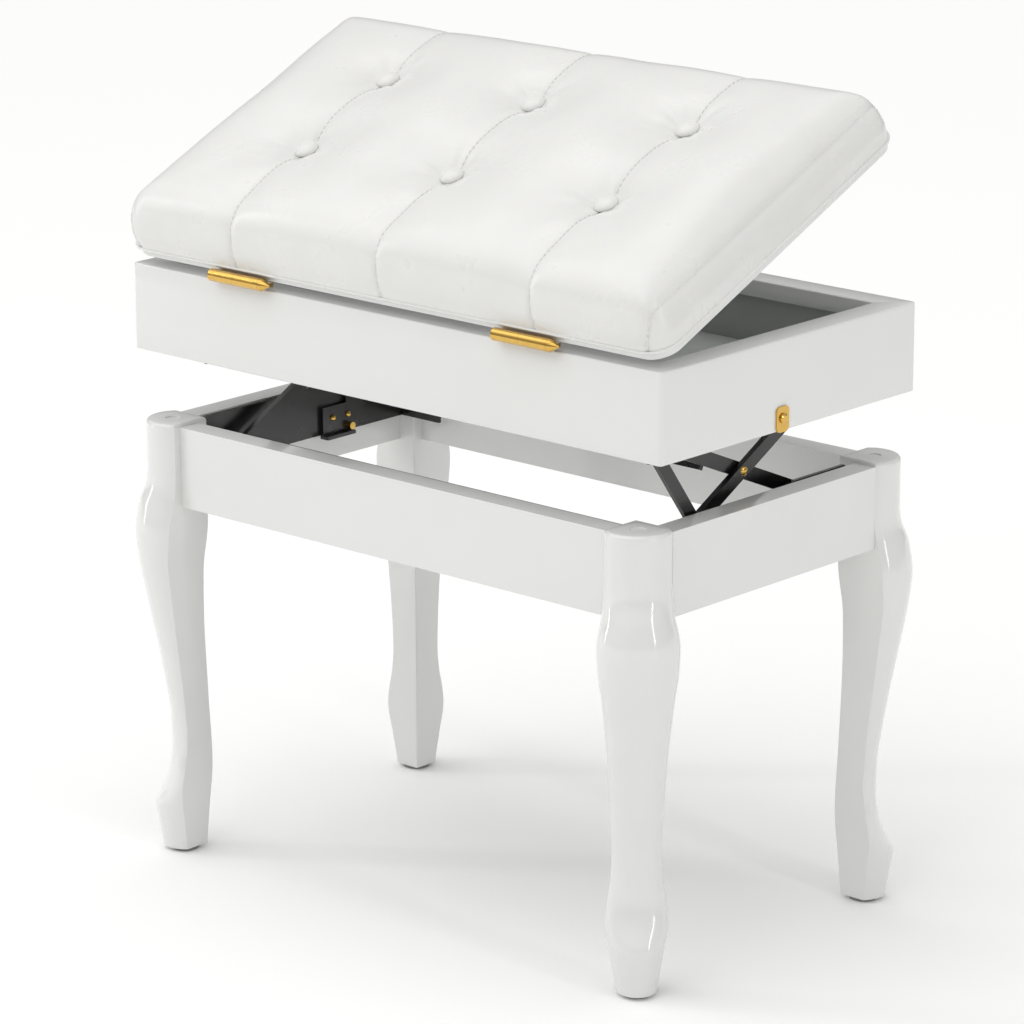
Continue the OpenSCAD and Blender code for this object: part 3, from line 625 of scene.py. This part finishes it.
@dataclass
class Cushion:
    """Deep-buttoned foam cushion in coated cloth: sewn in four panels with end bands."""

    lid: Lid
    skirt: float = 5.0
    board: float = 12.0
    shoulder: float = 21.0
    side_rise: float = 30.0
    side_run: float = 33.0
    crown: float = 8.5
    pitch: float = 158.0
    rows: tuple[float, float] = (108.0, 212.0)
    button_r: float = 10.0
    button_seat: float = 48.5
    cell: float = 6.2
    cap: float = 9.0
    seam_depth: float = 1.1
    calm: int = 10
    slow_wave: tuple[float, float] = (55, 0.5)
    fine_wave: tuple[float, float] = (18, 0.05)
    pleat_depth: float = 0.42
    pleat_reach: float = 80.0
    stitch_rise: float = 0.55
    stitch_sink: float = 0.9
    stiffness: float = 18.0
    pressure: float = 4.0
    frames: int = 20

    def buttons(self) -> list[tuple[float, float]]:
        """Plan places of the buttons on the lid."""
        return [(i * self.pitch, s) for i in (-1, 0, 1) for s in self.rows]

    def _height(self, x: float, s: float) -> float:
        """Height of the padded top before the cover is blown tight.

        Args:
            x: place along the lid.
            s: distance from the hinge side.

        Returns:
            Height above the underside of the lid.
        """
        e = max(0.0, self.lid.inset(x, s))
        t = min(1.0, e / self.side_run)
        h = self.shoulder + self.side_rise * math.sqrt(max(0.0, 1 - (1 - t) ** 2))
        h += self.crown * (1 - (1 - min(1.0, e / 120)) ** 2)
        seam = min(abs(x - i * self.pitch) for i in (-1, 0, 1))
        h -= 2.2 * math.exp(-(seam / 9) ** 2) * ease(e / 60)
        near = min(math.hypot(x - bx, s - bs) for bx, bs in self.buttons())
        over = h - self.button_seat
        h -= over * (0.62 * math.exp(-(max(0, near - self.button_r) / 17) ** 2)
                     + 0.38 * math.exp(-(max(0, near - self.button_r) / 5) ** 2))
        return h

    def _lines(self, low: float, high: float, marks: Sequence[float]) -> list[float]:
        """Evenly spaced grid lines that include the marks.

        Args:
            low: first line.
            high: last line.
            marks: lines that must be there.

        Returns:
            The places of the lines.
        """
        stops = [low, *marks, high]
        lines = [low]
        for a, b in zip(stops, stops[1:]):
            count = max(1, round((b - a) / self.cell))
            lines += [a + (b - a) * k / count for k in range(1, count + 1)]
        return lines

    def _cover(self) -> tuple[list[list[float]], list[list[int]], set[int]]:
        """Grid of the cover in lid measures: points, faces and the points that are held.

        Returns:
            The points, the faces, and the indices of the held points.
        """
        half = self.lid.length / 2
        xs = self._lines(-half, half, [-self.pitch, 0.0, self.pitch])
        ss = self._lines(0.0, self.lid.width, list(self.rows))
        points: list[list[float]] = []
        at: dict[tuple[int, int], int] = {}
        for i, x in enumerate(xs):
            for j, s in enumerate(ss):
                px, ps = self._pull_in(x, s)
                at[i, j] = len(points)
                points.append([px, ps, self._height(px, ps)])
        nx, ns = len(xs) - 1, len(ss) - 1
        faces = [[at[i, j], at[i + 1, j], at[i + 1, j + 1], at[i, j + 1]]
                 for i in range(nx) for j in range(ns)]
        border = ([(i, 0) for i in range(nx)] + [(nx, j) for j in range(ns)]
                  + [(i, ns) for i in range(nx, 0, -1)] + [(0, j) for j in range(ns, 0, -1)])
        ring = [at[key] for key in border]
        held: set[int] = set()
        steps = [(0.0, self.shoulder - (self.shoulder - self.skirt) * k / 4) for k in range(1, 5)]
        steps += [(0.7, self.skirt - 0.3), (1.5, self.skirt), (1.7, self.board + 0.1)]
        for inset, n in steps:
            fresh = []
            for v in ring:
                x, s, _ = points[v]
                scale_x = (half - inset) / half
                scale_s = (self.lid.width / 2 - inset) / (self.lid.width / 2)
                fresh.append(len(points))
                points.append([points[at[border[len(fresh) - 1]]][0] * scale_x,
                               (points[at[border[len(fresh) - 1]]][1] - self.lid.width / 2) * scale_s
                               + self.lid.width / 2, n])
            count = len(ring)
            faces += [[ring[k], fresh[k], fresh[(k + 1) % count], ring[(k + 1) % count]]
                      for k in range(count)]
            if n <= self.skirt + 5 or inset:
                held.update(fresh)
            ring = fresh
        under: dict[tuple[int, int], int] = {key: ring[k] for k, key in enumerate(border)}
        for i in range(1, nx):
            for j in range(1, ns):
                under[i, j] = len(points)
                x, s, _ = points[at[i, j]]
                points.append([x * 0.99, (s - self.lid.width / 2) * 0.99 + self.lid.width / 2,
                               self.board + 0.1])
                held.add(under[i, j])
        faces += [[under[i, j], under[i, j + 1], under[i + 1, j + 1], under[i + 1, j]]
                  for i in range(nx) for j in range(ns)]
        for index, (x, s, n) in enumerate(points):
            if n > self.board + 10 and min(math.hypot(x - bx, s - bs)
                                           for bx, bs in self.buttons()) < self.button_r + 1:
                held.add(index)
        return points, faces, held

    def _pull_in(self, x: float, s: float) -> tuple[float, float]:
        """Moves grid points beyond a round corner onto it.

        Args:
            x: place along the lid.
            s: distance from the hinge side.

        Returns:
            The place after the move.
        """
        r = self.lid.corner
        cx, cs = self.lid.length / 2 - r, self.lid.width / 2 - r
        dx, ds = abs(x) - cx, abs(s - self.lid.width / 2) - cs
        if dx <= 0 or ds <= 0:
            return x, s
        # square to disc: keeps the grid even across the corner
        a, b = dx / r, ds / r
        dx, ds = r * a * math.sqrt(1 - b * b / 2), r * b * math.sqrt(1 - a * a / 2)
        return (math.copysign(cx + dx, x),
                self.lid.width / 2 + math.copysign(cs + ds, s - self.lid.width / 2))

    def _blow(self, obj: bpy.types.Object, held: set[int]) -> None:
        """Lets air pressure tighten the cover over the foam, held at its hem and buttons.

        Args:
            obj: the closed cover.
            held: points that stay.
        """
        group = obj.vertex_groups.new(name="held")
        group.add(list(held), 1.0, "REPLACE")
        start = [v.co.copy() for v in obj.data.vertices]
        cloth = obj.modifiers.new("cover", "CLOTH")
        settings = cloth.settings
        settings.quality = 6
        settings.mass = 0.3
        settings.tension_stiffness = settings.compression_stiffness = self.stiffness
        settings.shear_stiffness = 8
        settings.bending_stiffness = 1.2
        settings.air_damping = 2
        settings.shrink_min = -0.012
        settings.use_pressure = True
        settings.uniform_pressure_force = self.pressure
        settings.effector_weights.gravity = 0
        settings.vertex_group_mass = "held"
        cloth.collision_settings.use_collision = False
        scene = bpy.context.scene
        for number in range(1, self.frames + 1):
            scene.frame_set(number)
        solved = obj.evaluated_get(bpy.context.evaluated_depsgraph_get())
        moved = [v.co.copy() for v in solved.data.vertices]
        obj.modifiers.remove(cloth)
        scene.frame_set(1)
        largest = 0.0
        steps = self._calmed(obj.data, [now - was for was, now in zip(start, moved)], held)
        for vertex, was, step in zip(obj.data.vertices, start, steps):
            largest = max(largest, step.length)
            if step.length > self.cap * MM:
                step *= self.cap * MM / step.length
            vertex.co = was + step
        obj.vertex_groups.clear()
        log.info("cushion cover settled, largest movement %.1f mm", largest / MM)

    def _calmed(self, mesh: bpy.types.Mesh, steps: list[Vector], held: set[int]) -> list[Vector]:
        """Evens out the small buckles of the cover, keeping its broad swell.

        Args:
            mesh: the cover.
            steps: how far each point moved.
            held: points that stay.

        Returns:
            The evened movements.
        """
        near: list[list[int]] = [[] for _ in steps]
        for edge in mesh.edges:
            a, b = edge.vertices
            near[a].append(b)
            near[b].append(a)
        for _ in range(self.calm):
            steps = [step if k in held else sum((steps[n] for n in near[k]), step) / (len(near[k]) + 1)
                     for k, step in enumerate(steps)]
        return steps

    def _refine(self, obj: bpy.types.Object, levels: int) -> None:
        """Subdivides the cover for good.

        Args:
            obj: the cover.
            levels: how many times each face is split.
        """
        fine = obj.modifiers.new("fine", "SUBSURF")
        fine.levels = fine.render_levels = levels
        fine.boundary_smooth = "PRESERVE_CORNERS"
        solved = obj.evaluated_get(bpy.context.evaluated_depsgraph_get())
        mesh = bpy.data.meshes.new_from_object(solved)
        obj.modifiers.clear()
        obj.data = mesh

    def _seam_paths(self) -> list[list[Vector]]:
        """Rough courses of the sewn seams in lid measures, before they are laid on the cover.

        Returns:
            One course of points for each seam.
        """
        width, half = self.lid.width, self.lid.length / 2
        paths = []
        for i in (-1, 0, 1):
            x = i * self.pitch
            path = [Vector((x, -1.0, n)) for n in range(6, 34, 2)]
            path += [Vector((x, s, 75.0)) for s in range(0, int(width) + 1, 3)]
            path += [Vector((x, width + 1.0, n)) for n in range(33, 6, -2)]
            paths.append(path)
        for side in (-1, 1):
            path = [Vector((side * (half - 15 + 9 * ease((n - 6) / 34)), -1 + 5 * ease((n - 20) / 22), n))
                    for n in range(6, 42, 2)]
            path += [Vector((side * (half - 3.4), s, 41.5)) for s in range(10, int(width) - 8, 3)]
            path += [Vector((side * (half - 15 + 9 * ease((n - 6) / 34)),
                             width + 1 - 5 * ease((n - 20) / 22), n)) for n in range(40, 5, -2)]
            paths.append(path)
        return paths

    def _lay(self, obj: bpy.types.Object) -> list[list[Vector]]:
        """Lays the seams on the cover and sinks the cover along them.

        Args:
            obj: the cover in lid measures.

        Returns:
            The seam courses in millimetres.
        """
        mesh = obj.data
        tree = BVHTree.FromPolygons([v.co for v in mesh.vertices], [p.vertices[:] for p in mesh.polygons])
        laid = []
        for path in self._seam_paths():
            course = []
            for p in path:
                if p.z > 70:
                    hit = tree.ray_cast(p * MM, Vector((0, 0, -1)))
                else:
                    hit = tree.find_nearest(p * MM)
                if hit[0] is not None:
                    course.append(hit[0] / MM)
            for _ in range(3):
                course = [course[0], *[(a + b * 2 + c) / 4 for a, b, c in
                                       zip(course, course[1:], course[2:])], course[-1]]
            even = [course[0]]
            for a, b in zip(course, course[1:]):
                count = max(1, round((b - a).length / 1.0))
                even += [a.lerp(b, k / count) for k in range(1, count + 1)]
            laid.append(even)
        near = KDTree(sum(len(c) for c in laid))
        index = 0
        for course in laid:
            for p in course:
                near.insert(p * MM, index)
                index += 1
        near.balance()
        normals = [v.normal.copy() for v in mesh.vertices]
        for vertex, normal in zip(mesh.vertices, normals):
            if vertex.co.z < (self.skirt + 1) * MM:
                continue
            gap = near.find(vertex.co)[2] / MM
            if gap < 9:
                sink = self.seam_depth * math.exp(-(gap / 1.3) ** 2) + 0.5 * math.exp(-(gap / 4.5) ** 2)
                vertex.co -= normal * sink * MM
        return laid

    def _crease(self, obj: bpy.types.Object) -> None:
        """Draws soft pleats round each button and slow waves in the cover.

        Args:
            obj: the cover in lid measures.
        """
        mesh = obj.data
        mesh.update()
        (slow, slow_lift), (fine, fine_lift) = self.slow_wave, self.fine_wave
        normals = [v.normal.copy() for v in mesh.vertices]
        for vertex, normal in zip(mesh.vertices, normals):
            x, s, n = vertex.co / MM
            if n < 24:
                continue
            wave = noise.noise(Vector((x / slow, s / slow, 3.7))) * slow_lift + noise.noise(
                Vector((x / fine, s / fine, 9.1))) * fine_lift
            lift = wave * ease((n - 24) / 20)
            for number, (bx, bs) in enumerate(self.buttons()):
                far = math.hypot(x - bx, s - bs)
                if far > self.pleat_reach:
                    continue
                turn = math.atan2(s - bs, x - bx)
                folds = math.sin(7 * turn + 2.1 * number) + 0.6 * math.sin(11 * turn - 1.3 * number)
                lift += self.pleat_depth * folds * math.exp(-((far - 19) / 15) ** 2)
            vertex.co += normal * lift * MM

    def _thread(self, courses: list[list[Vector]]) -> bpy.types.Object:
        """Sews the stitches that show along each seam.

        Args:
            courses: the laid seams, in lid measures.

        Returns:
            The stitches.
        """
        points: list[Vector] = []
        faces: list[list[int]] = []
        for course in courses:
            for start in range(0, len(course) - 4, 5):
                part = [self.lid.place(p.x, p.y, p.z + self.stitch_rise * math.sin(math.pi * k / 3)
                                       - self.stitch_sink)
                        for k, p in enumerate(course[start:start + 4])]
                more, skin = tube(part, 0.34, 5)
                base = len(points)
                points += more
                faces += [[base + v for v in f] for f in skin]
        obj = mesh_object("cushion_stitches", points, faces, WHITE_THREAD, 60)
        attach(obj, "lid")
        return obj

    def _piping(self) -> bpy.types.Object:
        """Rolls the hem along the cushion's lower edge.

        Returns:
            The hem.
        """
        half, wide = self.lid.length / 2, self.lid.width / 2
        loop = rounded_loop(half + 0.1, wide + 0.1, self.lid.corner, wide, self.skirt + 2.4, 16, 60)
        points, faces = tube([self.lid.place(*p) for p in loop], 1.15, 10, closed=True)
        obj = mesh_object("cushion_hem", points, faces, WHITE_LEATHER, 60)
        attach(obj, "lid")
        return obj

    def _covered_buttons(self) -> bpy.types.Object:
        """Makes the six covered buttons, their cloth pleated under the rim.

        Returns:
            The six buttons as one piece.
        """
        shape = [(0.0, 6.2), (2.5, 6.1), (5.0, 5.6), (7.2, 4.7), (8.8, 3.6), (9.7, 2.5), (10.0, 1.6),
                 (9.7, 0.7), (8.6, 0.0), (6.0, -0.6)]
        points: list[Vector] = []
        faces: list[list[int]] = []
        sides = 64
        for number, (bx, bs) in enumerate(self.buttons()):
            rings = []
            for r, n in shape[1:]:
                pleat = 0.1 * ease((r - 7) / 3)
                rings.append([self.lid.place(
                    bx + (r + pleat * math.sin(16 * a + number)) * math.cos(a),
                    bs + (r + pleat * math.sin(16 * a + number)) * math.sin(a),
                    self.button_seat + n + 0.12 * math.sin(3 * a + number) * r / 10)
                    for a in (2 * math.pi * k / sides for k in range(sides))])
            more, skin = loft(rings)
            base = len(points)
            points += more
            faces += [[base + v for v in f] for f in skin]
        obj = mesh_object("covered_buttons", points, faces, WHITE_LEATHER, 60)
        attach(obj, "lid")
        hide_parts("buttons")
        return obj

    def build(self) -> list[bpy.types.Object]:
        """Makes the cover, blows it tight, sews it and sets the buttons.

        Returns:
            The cover, the stitches, the hem and the buttons.
        """
        points, faces, held = self._cover()
        obj = mesh_object("cushion_cover", points, faces, WHITE_LEATHER, 70)
        self._blow(obj, held)
        self._refine(obj, 2)
        self._crease(obj)
        obj.data.update()
        courses = self._lay(obj)
        for vertex in obj.data.vertices:
            x, s, n = vertex.co / MM
            vertex.co = self.lid.place(x, s, n) * MM
        obj.data.update()
        smooth_shade(obj, 70)
        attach(obj, "lid")
        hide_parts("cushion")
        return [obj, self._thread(courses), self._piping(), self._covered_buttons()]


# ------------------------------------------------------------------ metalwork

@dataclass
class Metalwork:
    """The lifting frame, hinges and fixings: fixed parts, dressed and with eased edges."""

    steps: int = 3

    def dress(self) -> int:
        """Gives every frame node its finish and eases its edges.

        Returns:
            How many nodes were dressed.
        """
        done = 0
        for finish, names in FRAME_FINISHES.items():
            for name in names:
                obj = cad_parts[name]
                obj.data.materials.clear()
                obj.data.materials.append(finish.material())
                width = next((w for start, w in EASED_EDGES.items() if name.startswith(start)), 0.15)
                bevel = obj.modifiers.new("eased_edges", "BEVEL")
                bevel.width = width * MM
                bevel.segments = self.steps
                bevel.limit_method = "ANGLE"
                bevel.angle_limit = math.radians(40)
                bevel.harden_normals = True
                done += 1
        return done


# ------------------------------------------------------------------ studio

@dataclass
class Studio:
    """Camera, pale floor and soft lights."""

    azimuth: float = 42.234
    elevation: float = 15.759
    roll: float = -0.207
    place: Point = (2.38936, -2.63876, 1.31106)
    lens: float = 162.01
    horizon: float = 0.25
    zenith: float = 0.8
    overhead: float = 1.0

    def camera(self) -> bpy.types.Object:
        """Sets up the camera at the chosen angle.

        Returns:
            The camera.
        """
        az, el, roll = (math.radians(v) for v in (self.azimuth, self.elevation, self.roll))
        ahead = Vector((-math.sin(az) * math.cos(el), math.cos(az) * math.cos(el), -math.sin(el)))
        right = Vector((math.cos(az), math.sin(az), 0))
        up = right.cross(ahead)
        across = right * math.cos(roll) + up * math.sin(roll)
        above = up * math.cos(roll) - right * math.sin(roll)
        data = bpy.data.cameras.new("camera")
        data.lens, data.sensor_width = self.lens, 36.0
        data.clip_end = 50
        obj = bpy.data.objects.new("camera", data)
        obj.matrix_world = Matrix((
            (across.x, above.x, -ahead.x, self.place[0]), (across.y, above.y, -ahead.y, self.place[1]),
            (across.z, above.z, -ahead.z, self.place[2]), (0, 0, 0, 1)))
        bpy.context.scene.collection.objects.link(obj)
        bpy.context.scene.camera = obj
        return obj

    def floor(self) -> bpy.types.Object:
        """Lays the pale floor.

        Returns:
            The floor.
        """
        size = 12.0
        mesh = bpy.data.meshes.new("studio_floor")
        mesh.from_pydata([(-size, -size, 0), (size, -size, 0), (size, size, 0), (-size, size, 0)], [],
                         [(0, 1, 2, 3)])
        obj = bpy.data.objects.new("studio_floor", mesh)
        bpy.context.scene.collection.objects.link(obj)
        made = bpy.data.materials.new("matte_white_paper")
        made.use_nodes = True
        shader = made.node_tree.nodes["Principled BSDF"]
        shader.inputs["Base Color"].default_value = rgb("FBFBFA")
        shader.inputs["Roughness"].default_value = 0.9
        shader.inputs["Specular IOR Level"].default_value = 0.1
        mesh.materials.append(made)
        return obj

    def _lamp(self, name: str, place: Point, aim: Point, size: tuple[float, float], power: float) -> None:
        """Adds one soft box pointing at a place.

        Args:
            name: name of the light.
            place: where it hangs.
            aim: the point that it faces.
            size: width and height in metres.
            power: in watts.
        """
        data = bpy.data.lights.new(name, "AREA")
        data.shape = "RECTANGLE"
        data.size, data.size_y = size
        data.energy = power
        obj = bpy.data.objects.new(name, data)
        obj.location = place
        obj.rotation_mode = "QUATERNION"
        obj.rotation_quaternion = (Vector(aim) - Vector(place)).to_track_quat("-Z", "Y")
        bpy.context.scene.collection.objects.link(obj)

    def lights(self) -> None:
        """Hangs the soft boxes and sets a white surround that darkens towards the horizon."""
        world = bpy.data.worlds.new("white_surround")
        bpy.context.scene.world = world
        world.use_nodes = True
        tree = world.node_tree
        height = add(tree, "SeparateXYZ", Vector=add(tree, "TexCoord").outputs["Generated"])
        fade = add(tree, "MapRange", {"interpolation_type": "SMOOTHSTEP"}, Value=height.outputs["Z"],
                   From_Min=-0.05, From_Max=0.75, To_Min=self.horizon, To_Max=self.zenith)
        tree.links.new(fade.outputs[0], tree.nodes["Background"].inputs["Strength"])
        tree.nodes["Background"].inputs["Color"].default_value = rgb("FFFFFF")
        data = bpy.data.lights.new("overhead_bank", "SUN")
        data.energy, data.angle = self.overhead, math.radians(70)
        obj = bpy.data.objects.new("overhead_bank", data)
        obj.rotation_mode = "QUATERNION"
        obj.rotation_quaternion = Vector((0.26, 0.34, -1)).to_track_quat("-Z", "Y")
        bpy.context.scene.collection.objects.link(obj)
        self._lamp("left_strip", (-2.4, -1.6, 1.1), (0, 0, 0.35), (0.16, 1.9), 10)
        self._lamp("right_strip", (2.6, -0.3, 1.2), (0, 0, 0.35), (0.12, 1.8), 7)
        self._lamp("front_softbox", (0.5, -2.9, 2.6), (0, 0, 0.45), (1.6, 0.5), 6)

    def build(self) -> None:
        """Builds the whole studio."""
        self.camera()
        self.floor()
        self.lights()
        bpy.context.scene.view_settings.view_transform = "Standard"


def main() -> None:
    """Builds and dresses the bench in order."""
    logging.basicConfig(level=logging.INFO, format="%(message)s")
    Studio().build()
    dressed = Metalwork().dress()
    log.info("dressed %d frame nodes", dressed)
    lid = Lid()
    makers: list[Callable[[], object]] = [Legs().build, Carcass().build, Cushion(lid).build]
    for make in makers:
        made = make()
        for obj in made if isinstance(made, list) else [made]:
            log.info("%s: %d faces", obj.name, len(obj.data.polygons))


if __name__ == "__main__":
    main()
